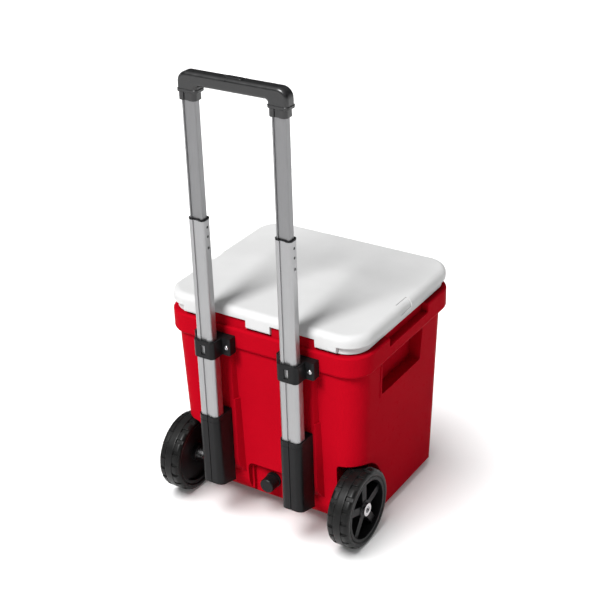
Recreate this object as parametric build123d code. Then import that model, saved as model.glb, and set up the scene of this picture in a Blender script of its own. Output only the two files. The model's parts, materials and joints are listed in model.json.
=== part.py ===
from build123d import *
import os

# Hard cooler on two wheels with a telescopic tow handle.
# Millimetres, +Z up, X across the cooler, -Y the handle side, floor at Z = 0,
# origin on the floor under the middle of the overall box.
# Parts that come in pairs are drawn on the +X side and mirrored.

FAR = 300.0                                   # past the part, for blocks that cut right through
ALL = (-FAR, FAR)
OVERCUT = 1.0                                 # how far a cutting tool runs past a face
CLEAR = 0.3                                   # gap between pieces that move past each other
RUNNING = 0.05                                # radial clearance of a pin in its bore

# ---- tub ------------------------------------------------------------------
TUB_BOTTOM, TUB_TOP = 10.0, 446.5
COLLAR_LOW, COLLAR_LAP = 398.0, 10.0          # the body runs on inside the collar by the lap
HALF_LOW, HALF_HIGH = 215.0, 228.0            # half width at the bottom and under the collar
REAR_LOW, REAR_HIGH = -164.0, -174.0
FRONT_LOW, FRONT_HIGH = 195.0, 210.0
CORNER_LOW, CORNER_HIGH = 44.0, 50.0
COLLAR_HALF, COLLAR_REAR, COLLAR_FRONT = 238.0, -183.0, 229.0
COLLAR_CORNER, COLLAR_UNDER_R, COLLAR_EDGE_R = 56.0, 8.0, 5.0
REAR_EDGE_R, SIDE_EDGE_R, FRONT_EDGE_R = 68.0, 18.0, 30.0
REAR_BULGE, SIDE_BULGE, FRONT_BULGE = 1.5, 0.5, 1.0   # taper gained over the height of a rounded edge
WALL, LINER = 4.0, 3.0
# storage space and the rim round its mouth
SPACE_HALF, SPACE_REAR, SPACE_FRONT = 188.0, -132.0, 184.0
SPACE_FLOOR, SPACE_CORNER, SPACE_DRAFT = 52.0, 34.0, 12.0
BUMP_HALF, BUMP_FRONT, BUMP_TOP = 150.0, -38.0, 200.0
RIM_WIDTH, RIM_TOP, RIM_ROOT = 12.0, 452.0, 5.0
# pilasters that carry the handle tubes
PILASTER_Y, PILASTER_ROOT_Y = COLLAR_REAR, -158.0
PILASTER_FACE_IN, PILASTER_FACE_OUT = 31.0, 28.0
PILASTER_BASE_IN, PILASTER_BASE_OUT = 42.0, 39.0
PILASTER_JOG_Z, PILASTER_JOG = 275.0, 4.0     # wider by the jog below this height
PILASTER_FOOT_R = 58.0
# grab pockets with a bead at their rear edge, and finger slots under the lid
POCKET_OUTLINE = [(-74, 316), (91, 316), (99, 400), (-60, 403), (-74, 384)]
POCKET_X, POCKET_R, POCKET_REACH = 198.0, 6.0, 60.0
BEAD_Y, BEAD_Z, BEAD_PROUD, BEAD_ROOT = (-83.0, -78.0), (312.0, 386.0), 1.4, 6.0
FINGER_SLOT_X, FINGER_SLOT_Y, FINGER_SLOT_Z = 221.0, (-63.0, 104.0), (426.0, 460.0)
# stepped recess for the drain
RECESS_HALF, RECESS_TOP, RECESS_R = 52.0, 113.0, 14.0
RECESS_STEP_Y, RECESS_Y, RECESS_LEDGE, RECESS_BELOW = -154.0, -146.0, 5.5, 40.0

# ---- drain ------------------------------------------------------------------
DRAIN_Z, DRAIN_R, DRAIN_BORE_R, STEM_R = 74.0, 12.0, 8.4, 8.1
FLANGE_R, FLANGE_THICK, DRAIN_INNER_END = 18.0, 5.0, -116.0
NUT_R, NUT_THICK = 20.0, 7.0
SEAL_R, SEAL_THICK = 14.0, 2.2
CAP_R, CAP_LENGTH, CAP_CHAMFER = 16.5, 24.5, 1.5
CAP_RIBS, CAP_RIB_R, CAP_RIB_AT, CAP_RIB_END = 24, 0.9, 16.9, 9.0
STEM_LENGTH = 24.0

# ---- feet and screws --------------------------------------------------------
FOOT_X, FOOT_Y, FOOT_R, FOOT_EDGE_R = 150.0, 150.0, 20.0, 2.0
FOOT_SCREW_R, FOOT_HEAD_R, FOOT_HEAD_Z = 2.5, 5.0, (3.0, 5.4)
FOOT_SCREW_DEEP, FOOT_HOLE_DEEP, FOOT_BOSS_R, FOOT_BOSS_DEEP = 12.0, 14.0, 12.0, 18.0
SCREW_R, SCREW_HEAD_R, SCREW_HEAD_HIGH, SCREW_DOME_R = 2.5, 4.8, 2.6, 1.2
HEX_R, HEX_DEEP = 2.0, 1.6
HOLE_DEEP, SCREW_BOSS_HALF = 18.0, 8.0

# ---- wheels -------------------------------------------------------------------
WHEEL_R, WHEEL_Y = 86.0, -157.0
WHEEL_IN, WHEEL_OUT = 187.0, 238.0
WELL_R, WELL_IN, WELL_EDGE_R = 95.0, 171.0, 9.0
AXLE_R, AXLE_IN, AXLE_COLLAR_R = 6.0, 143.0, 12.0
AXLE_BORE_R, AXLE_BORE_DEEP = 4.6, 24.0
BOSS_BEHIND, BOSS_HALF, BOSS_FRONT = 8.0, 26.0, 18.0
TYRE_EDGE_R, RIM_R, RIM_THICK = 9.0, 71.0, 7.0
TREAD_BLOCKS, TREAD_DEPTH, TREAD_GAP, TREAD_REACH = 20, 3.0, 11.5, 14.0
HUB_BOSS_R, HUB_WEB_X = 19.0, (197.0, 201.0)
SPOKES, SPOKE_LENGTH, SPOKE_THICK = 5, (14.0, 66.0), 31.0
SPOKE_ROOT_HALF, SPOKE_TIP_HALF = 8.5, 8.0
BUSH_R, BUSH_LENGTH = 9.0, 12.0
CLIP_X, CLIP_R, CLIP_CUP_R, CLIP_CUP_X = (231.5, 234.5), 14.0, 7.2, 237.5

# ---- telescopic handle ----------------------------------------------------------
TUBE_X, TUBE_Y = 100.0, -217.4
STAGE_SHIFT = 1.2                             # each inner stage sits this much nearer the front
OUTER = (44.2, 31.2, 10.0, 3.9)               # width, depth, corner radius, half of the front groove
MIDDLE = (37.6, 24.6, 7.3, 7.2)
INNER = (31.0, 18.0, 4.0, 10.5)
GROOVE_DEPTH, TUBE_WALL = 2.0, 1.5
OUTER_Z, MIDDLE_Z, INNER_Z = (96.0, 428.0), (365.0, 697.0), (618.0, 975.0)
BUSHING_LIP, BUSHING_PROUD, BUSHING_LENGTH = 3.0, 0.4, 36.0
GLIDE_Z, GLIDE_SEAT = (362.0, 385.0), 3.0
LOCK_Z, LOCK_HALF, LOCK_HOLE_R, LOCK_PIN_R = 638.0, 14.0, 2.4, 2.3
STUD_ZS, STUD_R, STUD_SUNK, STUD_DEEP = (662.0, 682.0), 3.0, 0.4, 2.0
CLAMP_Z, CLAMP_WALL, CLAMP_EDGE_R = (391.0, 430.0), 3.0, 1.5
CLAMP_MID = (CLAMP_Z[0] + CLAMP_Z[1]) / 2
CLAMP_EAR_HALF, CLAMP_EAR_DEPTH, CLAMP_EAR_R = 44.0, 21.0, 4.0
CLAMP_SCREW_X, CLAMP_SCREW_LENGTH = 36.0, 36.0
CLAMP_BORE_GAP = 0.7                          # round the middle stage where the clamp closes over it
WINDOW_HALF, WINDOW_TALL, WINDOW_DEEP = 5.0, 11.0, 8.0
SOCKET_Z, SOCKET_WALL, SOCKET_DROP = (86.0, 251.0), 3.0, 16.0   # its foot slopes down to the tub by the drop
SOCKET_SEAM_Z, SOCKET_SEAM_DEEP = (238.6, 239.6), 0.5
SOCKET_SCREW_ZS, SOCKET_SEAT, SOCKET_SCREW_LENGTH, SOCKET_ACCESS_R = (130.0, 200.0), 8.0, 24.0, 5.2
# grip
GRIP_Z, GRIP_BAR_LOW, GRIP_SPLIT = (942.0, 997.0), 971.0, 986.0
GRIP_LEG, GRIP_DEPTH, GRIP_Y = 44.0, 28.0, -217.3
GRIP_R, GRIP_INNER_R, GRIP_SIDE_R = 22.0, 6.0, 7.0
CUFF_HIGH, CUFF_WALL = 15.0, 4.5
LIP_HIGH, LIP_PROUD, LIP_CORNER, LIP_EDGE_R = 6.5, 1.5, 8.0, 1.4
BUTTON_HALF, BUTTON_DEPTH, BUTTON_CORNER, BUTTON_EDGE_R = 20.0, 13.0, 5.0, 1.2
BUTTON_LOW, BUTTON_PROUD, BUTTON_POCKET_LOW, BUTTON_GAP = 985.5, 1.5, 976.5, 0.4
BAR_THICK, BAR_HALF, BAR_OVERHANG = 4.0, 3.0, 3.0
CHANNEL_GAP, ROD_GAP = 1.0, 0.6
ROD_X, ROD_R, ROD_ABOVE_LOCK, ROD_POCKET = 94.0, 2.2, 8.0, 4.0
SPRING_X, SPRING_R, SPRING_BORE = 12.0, 3.0, 1.9
GRIP_SCREW_XS, GRIP_SCREW_Y = (34.0, 68.0), -209.3
GRIP_SCREW_R, GRIP_SCREW_HEAD_R, GRIP_SCREW_HEAD = 1.6, 3.2, 2.0
GRIP_SCREW_SUNK, GRIP_SCREW_BITE = 2.0, 6.0

# ---- lid ---------------------------------------------------------------------------
LID_HALF, LID_REAR, LID_FRONT = 236.5, -182.0, 228.0
LID_CORNER, LID_TOP, LID_EDGE_R, LID_UNDER_R = 56.0, 492.0, 14.0, 3.0
BAND_TOP, BAND_LOW, BAND_INSET, BAND_LAP = 466.0, 450.5, 9.0, 4.0
LID_WALL, LID_PLATE = 5.0, 456.0
SCOOP_Y, SCOOP_DEEP, SCOOP_LOW = (-12.0, 31.0), 1.6, 472.0
HINGE_Y, HINGE_Z, HINGE_R, PIN_R = -168.0, 464.0, 8.0, 3.0
BLOCK_X, BLOCK_SIDE_GAP, BLOCK_ROOT = (29.0, 134.0), 0.4, 418.0
NOTCH_GAP, TAB_END, TAB_DEPTH, TAB_LIFT, TAB_EDGE_R = 0.6, 183.0, 20.0, 2.0, 6.0
HINGE_BEAM_SIDE, HINGE_BEAM = 6.0, 14.0       # solid lid left round the hinge pins
PIN_X, PIN_BORE_X = (14.0, 166.0), (12.0, 168.0)
PLUG_LOW, PLUG_GAP = 430.0, 5.0
GASKET_INSET, GASKET_WIDTH = 2.0, 6.0

# ---- latches ---------------------------------------------------------------------------
LATCH_X, LATCH_HALF, LATCH_OPEN = 118.0, 29.0, 4.0
LATCH_Y, LATCH_Z, LATCH_R, LATCH_PIN_R = 232.0, 474.0, 6.0, 2.5
LATCH_LOW, LATCH_THICK, LATCH_CORNER, LATCH_EDGE_R = 402.0, 5.0, 10.0, 1.5
LATCH_EDGE_TOP = 472.0
LATCH_PIN_PAST, LATCH_BORE_PAST = 7.0, 8.0
LATCH_NOTCH_SIDE, LATCH_NOTCH_GAP = 1.0, 2.0
EAR_HALF, EAR_AT, EAR_ROOT, EAR_Z, EAR_R = 3.0, 4.0, 8.0, (466.0, 481.0), 5.0
PULL_R, PULL_HALF, PULL_PROUD, PULL_UP = 3.0, 18.0, 3.5, 5.0
KEEPER_Z, KEEPER_HALF, KEEPER_ROOT, KEEPER_PROUD = (418.2, 427.0), 20.0, 4.0, 2.5
HOOK_HALF, HOOK_HIGH, HOOK_GAP = 16.0, 6.3, 0.7


# ---- helpers --------------------------------------------------------------
def block(x, y, z):
    """A box between the low and high coordinate of each axis."""
    size = [b - a for a, b in (x, y, z)]
    centre = [(a + b) / 2 for a, b in (x, y, z)]
    return Pos(*centre) * Box(*size)


def rod_x(radius, x, y, z):
    return Pos((x[0] + x[1]) / 2, y, z) * Rot(0, 90, 0) * Cylinder(radius, x[1] - x[0])


def rod_y(radius, x, y, z):
    return Pos(x, (y[0] + y[1]) / 2, z) * Rot(90, 0, 0) * Cylinder(radius, y[1] - y[0])


def rod_z(radius, x, y, z):
    return Pos(x, y, (z[0] + z[1]) / 2) * Cylinder(radius, z[1] - z[0])


def prism(profile, z):
    return extrude(Pos(0, 0, z[0]) * profile, amount=z[1] - z[0])


def tile(half, y, radius, z):
    """A rounded rectangle, centred on X = 0, extruded between two heights."""
    sketch = Pos(0, (y[0] + y[1]) / 2) * RectangleRounded(2 * half, y[1] - y[0], radius)
    return prism(sketch, z)


def both(shape):
    """The shape and its mirror image on the other side of X = 0."""
    return [shape, shape.mirror(Plane.YZ)]


def add_all(shape, parts):
    for part in parts:
        shape = shape + part
    return shape


def cut_all(shape, tools):
    for tool in tools:
        shape = shape - tool
    return shape


def around(centre, half):
    return (centre - half, centre + half)


def write(name, *solids):
    shape = solids[0]
    if len(solids) > 1:
        shape = Compound(children=[Solid(s.solid().wrapped) for s in solids])
    export_step(shape, f"parts/{name}.step")


def write_sides(name, right):
    """Right part at +X and its mirror image as the left part."""
    write(f"{name}_right", right)
    write(f"{name}_left", right.mirror(Plane.YZ))


# ---- tub --------------------------------------------------------------------
def taper(low, high, z):
    """A dimension that changes evenly from the tub's bottom to the collar."""
    return low + (z - TUB_BOTTOM) / (COLLAR_LOW - TUB_BOTTOM) * (high - low)


def tub_section(z, inset):
    half = taper(HALF_LOW, HALF_HIGH, z) - inset
    rear = taper(REAR_LOW, REAR_HIGH, z) + inset
    front = taper(FRONT_LOW, FRONT_HIGH, z) - inset
    corner = taper(CORNER_LOW, CORNER_HIGH, z) - inset
    return Pos(0, (rear + front) / 2, z) * RectangleRounded(2 * half, front - rear, corner)


def edge_rounder(wall, outwards, radius, inset):
    """What a rounded bottom edge removes along X: a bar less the round, on the wall at this Y."""
    r = radius - inset
    floor = TUB_BOTTOM + inset
    centre = wall - outwards * r
    y = (centre, wall + outwards * FAR)
    bar = block(ALL, (min(y), max(y)), (floor - FAR, floor + r))
    return bar - rod_x(r, ALL, centre, floor + r)


def side_rounder(inset):
    r = SIDE_EDGE_R - inset
    floor = TUB_BOTTOM + inset
    centre = HALF_LOW + SIDE_BULGE - inset - r
    bar = block((centre, FAR), ALL, (floor - FAR, floor + r))
    return bar - rod_y(r, centre, ALL, floor + r)


def tub_form(top, inset):
    """The tapered tub with rounded bottom edges, moved inwards by the inset."""
    form = loft([tub_section(TUB_BOTTOM + inset, inset).face(), tub_section(top, inset).face()])
    rear = edge_rounder(REAR_LOW - REAR_BULGE + inset, -1, REAR_EDGE_R, inset)
    front = edge_rounder(FRONT_LOW + FRONT_BULGE - inset, 1, FRONT_EDGE_R, inset)
    return cut_all(form, [rear, front] + both(side_rounder(inset)))


def wheel_well(grow):
    """The arch over a wheel, open below, with a rounded inner edge."""
    inner = WELL_IN - grow
    radius = WELL_R + grow
    arch = rod_x(radius, (inner, FAR), WHEEL_Y, WHEEL_R)
    lower = block((inner, FAR), around(WHEEL_Y, radius), (-WHEEL_R, WHEEL_R))
    well = arch + lower
    inner_edges = well.faces().sort_by(Axis.X)[0].edges().filter_by(lambda e: e.center().Z > -OVERCUT)
    return fillet(inner_edges, WELL_EDGE_R + grow)


def recess_level(half, top, floor_y, corner):
    """A rounded hole into the rear wall down to floor_y, open at the bottom."""
    height = top + RECESS_BELOW
    outline = Pos(0, top - height / 2) * RectangleRounded(2 * half, height, corner)
    return extrude(Plane.XZ.offset(FAR) * outline, amount=-(FAR + floor_y))


def drain_recess(grow):
    outer = recess_level(RECESS_HALF + grow, RECESS_TOP + grow, RECESS_STEP_Y + grow, RECESS_R)
    half = RECESS_HALF - RECESS_LEDGE + grow
    top = RECESS_TOP - RECESS_LEDGE + grow
    return outer + recess_level(half, top, RECESS_Y + grow, RECESS_R - RECESS_LEDGE)


def side_pocket(grow):
    outline = Polygon(*POCKET_OUTLINE, align=None)
    outline = fillet(outline.vertices(), POCKET_R)
    outline = offset(outline, amount=grow) if grow else outline
    return extrude(Plane.YZ.offset(POCKET_X - grow) * outline, amount=POCKET_REACH)


def pocket_bead():
    """A low upright bead on the sloping side, just behind the grab pocket."""
    low, high = (taper(HALF_LOW, HALF_HIGH, z) for z in BEAD_Z)
    outline = Polygon(
        (low - BEAD_ROOT, BEAD_Z[0]),
        (low + BEAD_PROUD, BEAD_Z[0]),
        (high + BEAD_PROUD, BEAD_Z[1]),
        (high - BEAD_ROOT, BEAD_Z[1]),
        align=None,
    )
    return extrude(Plane.XZ.offset(-BEAD_Y[1]) * outline, amount=BEAD_Y[1] - BEAD_Y[0])


def finger_slot(grow):
    y, z = FINGER_SLOT_Y, FINGER_SLOT_Z
    return block((FINGER_SLOT_X - grow, FAR), (y[0] - grow, y[1] + grow), (z[0] - grow, z[1]))


def pilaster_plan(extra):
    points = [
        (TUBE_X - PILASTER_BASE_IN - extra, PILASTER_ROOT_Y),
        (TUBE_X - PILASTER_FACE_IN - extra, PILASTER_Y),
        (TUBE_X + PILASTER_FACE_OUT + extra, PILASTER_Y),
        (TUBE_X + PILASTER_BASE_OUT + extra, PILASTER_ROOT_Y),
    ]
    return Polygon(*points, align=None)


def pilaster():
    """The raised pad behind a handle tube: sloping sides, wider below the jog, rounded at the foot."""
    upper = prism(pilaster_plan(0), (PILASTER_JOG_Z, COLLAR_LOW + COLLAR_LAP))
    lower = prism(pilaster_plan(PILASTER_JOG), (TUB_BOTTOM, PILASTER_JOG_Z))
    floor = SOCKET_Z[0] - SOCKET_DROP
    centre_y = PILASTER_Y + PILASTER_FOOT_R
    centre_z = floor + PILASTER_FOOT_R
    below = block(ALL, (-FAR, centre_y), (-FAR, centre_z)) - rod_x(PILASTER_FOOT_R, ALL, centre_y, centre_z)
    return upper + (lower - below)


def space_section(z, grow):
    t = (TUB_TOP - z) / (TUB_TOP - SPACE_FLOOR)
    half = SPACE_HALF - t * SPACE_DRAFT + grow
    rear = SPACE_REAR + t * SPACE_DRAFT / 2 - grow
    front = SPACE_FRONT - t * SPACE_DRAFT + grow
    return Pos(0, (rear + front) / 2, z) * RectangleRounded(2 * half, front - rear, SPACE_CORNER + grow)


def storage_space(grow):
    """The room inside, narrower at the bottom and stepped over the wheel wells."""
    sections = [space_section(z, grow).face() for z in (SPACE_FLOOR - grow, RIM_TOP + OVERCUT)]
    bump = block((BUMP_HALF + grow, FAR), (-FAR, BUMP_FRONT - grow), (0, BUMP_TOP - grow))
    return cut_all(loft(sections), both(bump))


def hinge_block():
    x = (BLOCK_X[0] + BLOCK_SIDE_GAP, BLOCK_X[1] - BLOCK_SIDE_GAP)
    stem = block(x, around(HINGE_Y, HINGE_R), (BLOCK_ROOT, HINGE_Z))
    return stem + rod_x(HINGE_R, x, HINGE_Y, HINGE_Z)


def keeper():
    y = (COLLAR_FRONT - KEEPER_ROOT, COLLAR_FRONT + KEEPER_PROUD)
    return block(around(LATCH_X, KEEPER_HALF), y, KEEPER_Z)


def tub_outside():
    """The solid tub with everything that stands on it."""
    collar = tile(COLLAR_HALF, (COLLAR_REAR, COLLAR_FRONT), COLLAR_CORNER, (COLLAR_LOW, TUB_TOP))
    collar = fillet(collar.faces().sort_by(Axis.Z)[0].edges(), COLLAR_UNDER_R)
    collar = fillet(collar.faces().sort_by(Axis.Z)[-1].edges(), COLLAR_EDGE_R)
    rim_y = (SPACE_REAR - RIM_WIDTH, SPACE_FRONT + RIM_WIDTH)
    rim = tile(SPACE_HALF + RIM_WIDTH, rim_y, SPACE_CORNER + RIM_WIDTH, (TUB_TOP - RIM_ROOT, RIM_TOP))
    form = tub_form(COLLAR_LOW + COLLAR_LAP, 0) + collar + rim
    return add_all(form, both(pilaster()) + both(hinge_block()) + both(keeper()) + both(pocket_bead()))


def screw_holes():
    y = (PILASTER_Y - OVERCUT, PILASTER_Y + HOLE_DEEP)
    holes = []
    for x in around(TUBE_X, CLAMP_SCREW_X):
        holes += both(rod_y(SCREW_R, x, y, CLAMP_MID))
    for z in SOCKET_SCREW_ZS:
        holes += both(rod_y(SCREW_R, TUBE_X, y, z))
    return holes


def drain_rod(radius, y):
    return rod_y(radius, 0, y, DRAIN_Z)


def tub_cuts():
    cuts = both(wheel_well(0)) + [drain_recess(0)] + both(side_pocket(0)) + both(finger_slot(0))
    cuts += both(rod_x(PIN_R, (BLOCK_X[0] - OVERCUT, BLOCK_X[1] + OVERCUT), HINGE_Y, HINGE_Z))
    cuts += both(rod_x(AXLE_R, (AXLE_IN, WELL_IN + OVERCUT), WHEEL_Y, WHEEL_R))
    cuts += both(rod_z(FOOT_SCREW_R, FOOT_X, FOOT_Y, (-OVERCUT, TUB_BOTTOM + FOOT_HOLE_DEEP)))
    cuts.append(drain_rod(DRAIN_R, (RECESS_Y - WALL, DRAIN_INNER_END)))
    return cuts + screw_holes()


def foam_guards():
    """Where the shell stays solid: a wall round every cut, and bosses for the axles and screws."""
    guards = both(wheel_well(WALL)) + [drain_recess(WALL)] + both(side_pocket(WALL)) + both(finger_slot(WALL))
    boss_y = (-FAR, WHEEL_Y + BOSS_FRONT)
    guards += both(block((AXLE_IN - BOSS_BEHIND, WELL_IN), boss_y, around(WHEEL_R, BOSS_HALF)))
    guards += both(rod_z(FOOT_BOSS_R, FOOT_X, FOOT_Y, (0, TUB_BOTTOM + FOOT_BOSS_DEEP)))
    guards.append(drain_rod(FLANGE_R, (RECESS_Y - WALL, DRAIN_INNER_END)))
    boss_y = (-FAR, PILASTER_Y + HOLE_DEEP + WALL + HALF_HIGH - HALF_LOW)
    for x in around(TUBE_X, CLAMP_SCREW_X):
        guards += both(block(around(x, SCREW_BOSS_HALF), boss_y, (CLAMP_Z[0] - WALL, TUB_TOP)))
    socket_z = (SOCKET_SCREW_ZS[0] - SCREW_BOSS_HALF, SOCKET_SCREW_ZS[1] + SCREW_BOSS_HALF)
    guards += both(block(around(TUBE_X, SCREW_BOSS_HALF), boss_y, socket_z))
    return guards


def make_tub():
    form = cut_all(tub_outside(), tub_cuts())
    core = cut_all(tub_form(TUB_TOP - WALL, WALL), foam_guards())
    lined = storage_space(LINER)
    foam = core - lined
    shell = form - core - lined
    liner = (lined & block(ALL, ALL, (0, RIM_TOP))) - storage_space(0)
    return shell, foam, liner - drain_rod(DRAIN_R, (RECESS_Y, 0))


# ---- feet and drain ---------------------------------------------------------
def screw_y(x, face_y, length, z):
    """A pan head screw along +Y with its head standing on the face at face_y."""
    head_y = face_y - SCREW_HEAD_HIGH
    head = rod_y(SCREW_HEAD_R, x, (head_y, face_y), z)
    head = fillet(head.faces().sort_by(Axis.Y)[0].edges(), SCREW_DOME_R)
    drive = Pos(x, head_y, z) * Rot(90, 0, 0) * extrude(RegularPolygon(HEX_R, 6), amount=-HEX_DEEP)
    return head + rod_y(SCREW_R, x, (face_y, face_y + length), z) - drive


def make_feet():
    """A rubber foot under the front of the tub, and the screw up through it."""
    head_low, head_top = FOOT_HEAD_Z
    pad = rod_z(FOOT_R, FOOT_X, FOOT_Y, (0, TUB_BOTTOM))
    pad = fillet(pad.faces().sort_by(Axis.Z)[0].edges(), FOOT_EDGE_R)
    pad = pad - rod_z(FOOT_HEAD_R, FOOT_X, FOOT_Y, (-OVERCUT, head_top))
    pad = pad - rod_z(FOOT_SCREW_R, FOOT_X, FOOT_Y, (head_low, TUB_BOTTOM + OVERCUT))
    head = rod_z(FOOT_HEAD_R, FOOT_X, FOOT_Y, FOOT_HEAD_Z)
    shank = rod_z(FOOT_SCREW_R, FOOT_X, FOOT_Y, (head_top, TUB_BOTTOM + FOOT_SCREW_DEEP))
    return pad, head + shank


def make_drain():
    """Bushing through the rear wall, its inner nut, the seal, and the screw-in plug."""
    face = RECESS_Y - FLANGE_THICK
    bush = drain_rod(FLANGE_R, (face, RECESS_Y)) + drain_rod(DRAIN_R, (face, DRAIN_INNER_END))
    bush = bush - drain_rod(DRAIN_BORE_R, (face - OVERCUT, DRAIN_INNER_END + OVERCUT))
    nut_face = SPACE_REAR + SPACE_DRAFT / 2
    nut = Pos(0, nut_face, DRAIN_Z) * Rot(90, 0, 0) * extrude(RegularPolygon(NUT_R, 6), amount=-NUT_THICK)
    nut = nut - drain_rod(DRAIN_R, (nut_face - OVERCUT, nut_face + NUT_THICK + OVERCUT))
    seal = drain_rod(SEAL_R, (face - SEAL_THICK, face - CLEAR))
    seal = seal - drain_rod(DRAIN_BORE_R, (face - SEAL_THICK - OVERCUT, face))
    cap_base = face - SEAL_THICK - CLEAR
    cap_end = cap_base - CAP_LENGTH
    cap = drain_rod(CAP_R, (cap_end, cap_base))
    cap = chamfer(cap.faces().sort_by(Axis.Y)[0].edges(), CAP_CHAMFER)
    for k in range(CAP_RIBS):
        groove = rod_y(CAP_RIB_R, CAP_RIB_AT, (cap_end - OVERCUT, face - CAP_RIB_END), 0)
        cap = cap - Pos(0, 0, DRAIN_Z) * Rot(0, 360 * k / CAP_RIBS, 0) * groove
    return bush, nut, seal, cap + drain_rod(STEM_R, (cap_base, face + STEM_LENGTH))


# ---- telescopic handle ----------------------------------------------------------
def stage_centre(stage):
    return TUBE_Y - STAGE_SHIFT * (OUTER, MIDDLE, INNER).index(stage)


def tube_profile(stage, grow=0.0):
    """Rounded rectangle with a shallow groove down its front face."""
    width, depth, corner, groove = stage
    outline = RectangleRounded(width + 2 * grow, depth + 2 * grow, corner + grow)
    front = -depth / 2 - grow
    notch = Pos(0, front) * Rectangle(2 * (groove - grow), 2 * GROOVE_DEPTH)
    return Pos(TUBE_X, stage_centre(stage)) * (outline - notch)


def tube(stage, z):
    return prism(tube_profile(stage) - tube_profile(stage, -TUBE_WALL), z)


def bushing(stage, inner, top):
    """Plastic guide in the mouth of a stage, with a lip over its rim."""
    low = top - BUSHING_LENGTH
    body = prism(tube_profile(stage, -TUBE_WALL), (low, top))
    lip = prism(tube_profile(stage, BUSHING_PROUD), (top, top + BUSHING_LIP))
    bore = prism(tube_profile(inner, CLEAR), (low - OVERCUT, top + BUSHING_LIP + OVERCUT))
    return body + lip - bore


def glide(stage, outside):
    """Plastic shoe round the foot of a stage, running inside the next stage out."""
    low, high = GLIDE_Z
    sleeve = prism(tube_profile(outside, -TUBE_WALL - CLEAR), GLIDE_Z)
    seat = prism(tube_profile(stage), (low + GLIDE_SEAT, high + OVERCUT))
    bore = prism(tube_profile(stage, -TUBE_WALL - OVERCUT), (low - OVERCUT, high + OVERCUT))
    return sleeve - seat - bore


def make_clamp():
    """Clamp over the mouth of the outer tube, with an ear and a screw on each side."""
    width, depth, corner, _ = OUTER
    front = TUBE_Y - depth / 2 - CLAMP_WALL
    sleeve = RectangleRounded(width + 2 * CLAMP_WALL, PILASTER_Y - front, corner)
    ears = RectangleRounded(2 * CLAMP_EAR_HALF, CLAMP_EAR_DEPTH, CLAMP_EAR_R)
    back = Rectangle(2 * CLAMP_EAR_HALF, CLAMP_EAR_DEPTH / 2)
    profile = Pos(TUBE_X, (front + PILASTER_Y) / 2) * sleeve
    profile = profile + Pos(TUBE_X, PILASTER_Y - CLAMP_EAR_DEPTH / 2) * ears
    profile = profile + Pos(TUBE_X, PILASTER_Y - CLAMP_EAR_DEPTH / 4) * back
    body = prism(profile, CLAMP_Z)
    for face in (body.faces().sort_by(Axis.Z)[-1], body.faces().sort_by(Axis.Z)[0]):
        body = fillet(face.edges(), CLAMP_EDGE_R)
    low, high = CLAMP_Z
    body = body - prism(tube_profile(OUTER), (low - OVERCUT, OUTER_Z[1]))
    body = body - prism(tube_profile(MIDDLE, CLAMP_BORE_GAP), (low - OVERCUT, high + OVERCUT))
    window_y = (front - OVERCUT, TUBE_Y - WINDOW_DEEP)
    body = body - block(around(TUBE_X, WINDOW_HALF), window_y, around(CLAMP_MID, WINDOW_TALL))
    face = PILASTER_Y - CLAMP_EAR_DEPTH
    screws = []
    for x in around(TUBE_X, CLAMP_SCREW_X):
        body = body - rod_y(SCREW_R, x, (face - OVERCUT, PILASTER_Y + OVERCUT), CLAMP_MID)
        screws.append(screw_y(x, face, CLAMP_SCREW_LENGTH, CLAMP_MID))
    return body, screws


def make_socket():
    """Socket that holds the foot of the outer tube, with its two screws to the tub."""
    front = TUBE_Y - OUTER[1] / 2 - SOCKET_WALL
    low = SOCKET_Z[0] - SOCKET_DROP
    web = Rectangle(OUTER[0] + 2 * SOCKET_WALL, PILASTER_Y - TUBE_Y)
    profile = tube_profile(OUTER, SOCKET_WALL) + Pos(TUBE_X, (TUBE_Y + PILASTER_Y) / 2) * web
    body = prism(profile, (low, SOCKET_Z[1]))
    slope = Polygon(
        (front - SOCKET_WALL, low - SOCKET_DROP),
        (PILASTER_Y + OVERCUT, low),
        (front - SOCKET_WALL, SOCKET_Z[0]),
        align=None,
    )
    body = body - extrude(Plane.YZ * slope, amount=FAR)
    body = body - prism(tube_profile(OUTER), (OUTER_Z[0], SOCKET_Z[1] + OVERCUT))
    seam = tube_profile(OUTER, SOCKET_WALL + OVERCUT) - tube_profile(OUTER, SOCKET_WALL - SOCKET_SEAM_DEEP)
    body = body - (prism(seam, SOCKET_SEAM_Z) & block(ALL, (-FAR, TUBE_Y), SOCKET_Z))
    face = PILASTER_Y - SOCKET_SEAT
    screws = []
    for z in SOCKET_SCREW_ZS:
        body = body - rod_y(SCREW_R, TUBE_X, (face - OVERCUT, PILASTER_Y + OVERCUT), z)
        body = body - rod_y(SOCKET_ACCESS_R, TUBE_X, (TUBE_Y, face), z)
        screws.append(screw_y(TUBE_X, face, SOCKET_SCREW_LENGTH, z))
    return body, screws


def middle_tube():
    body = tube(MIDDLE, MIDDLE_Z)
    for z in STUD_ZS + (LOCK_Z,):
        body = body - rod_x(STUD_R, around(TUBE_X, MIDDLE[0]), stage_centre(MIDDLE), z)
    return body


def inner_tube():
    body = tube(INNER, INNER_Z)
    return body - rod_x(LOCK_HOLE_R, (TUBE_X, TUBE_X + INNER[0]), stage_centre(INNER), LOCK_Z)


def middle_bushing():
    """The guide in the middle stage, with moulded studs that snap into the stage's side holes."""
    guide = bushing(MIDDLE, INNER, MIDDLE_Z[1])
    half = MIDDLE[0] / 2
    for z in STUD_ZS:
        for side in (-1, 1):
            x = sorted((TUBE_X + side * (half - STUD_DEEP), TUBE_X + side * (half - STUD_SUNK)))
            guide = guide + rod_x(STUD_R, x, stage_centre(MIDDLE), z)
    return guide


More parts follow.
